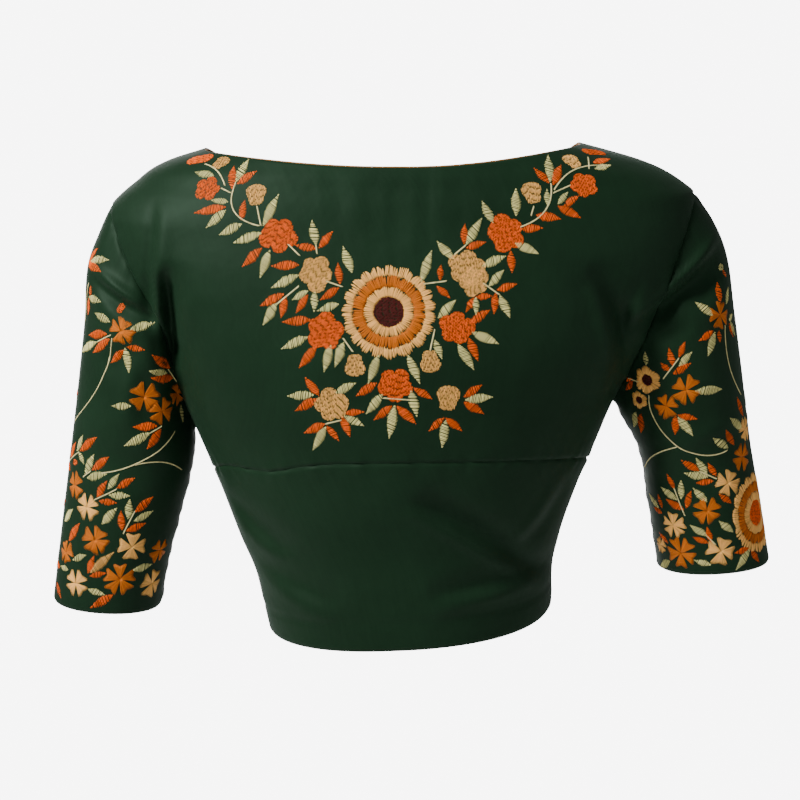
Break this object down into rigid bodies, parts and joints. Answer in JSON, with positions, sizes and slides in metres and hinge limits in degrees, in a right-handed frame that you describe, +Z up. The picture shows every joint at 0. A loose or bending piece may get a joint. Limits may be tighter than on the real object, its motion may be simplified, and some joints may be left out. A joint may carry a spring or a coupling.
{
  "type": "choli blouse",
  "caption": "Fitted cropped blouse, worn shape with no wearer: wide boat neck, elbow-length sleeves, cross seam on the back, floral vine embroidery, front opening.",
  "frame": {"origin": "midway between the shoulders on the line of the shoulder seams, at the height of the right neck point, where the wearer's shoulders hold it", "axes": "+Z up, the back faces -Y and the front opening +Y, +X towards the wearer's right sleeve"},
  "size_m": [0.5378, 0.2219, 0.3594],
  "materials": {
    "satin": "bottle green satin, soft sheen",
    "piping": "tan cord piping",
    "thread_orange": "orange satin-stitch thread",
    "thread_peach": "peach satin-stitch thread",
    "thread_brown": "rust brown satin-stitch thread",
    "thread_cream": "cream green satin-stitch thread"
  },
  "bodies": {
    "root": {"back_upper": "satin", "back_lower": "satin", "front_left": "satin", "front_right": "satin", "sleeve_left": "satin", "sleeve_right": "satin", "neck_piping": "piping"}
  },
  "joints": []
}
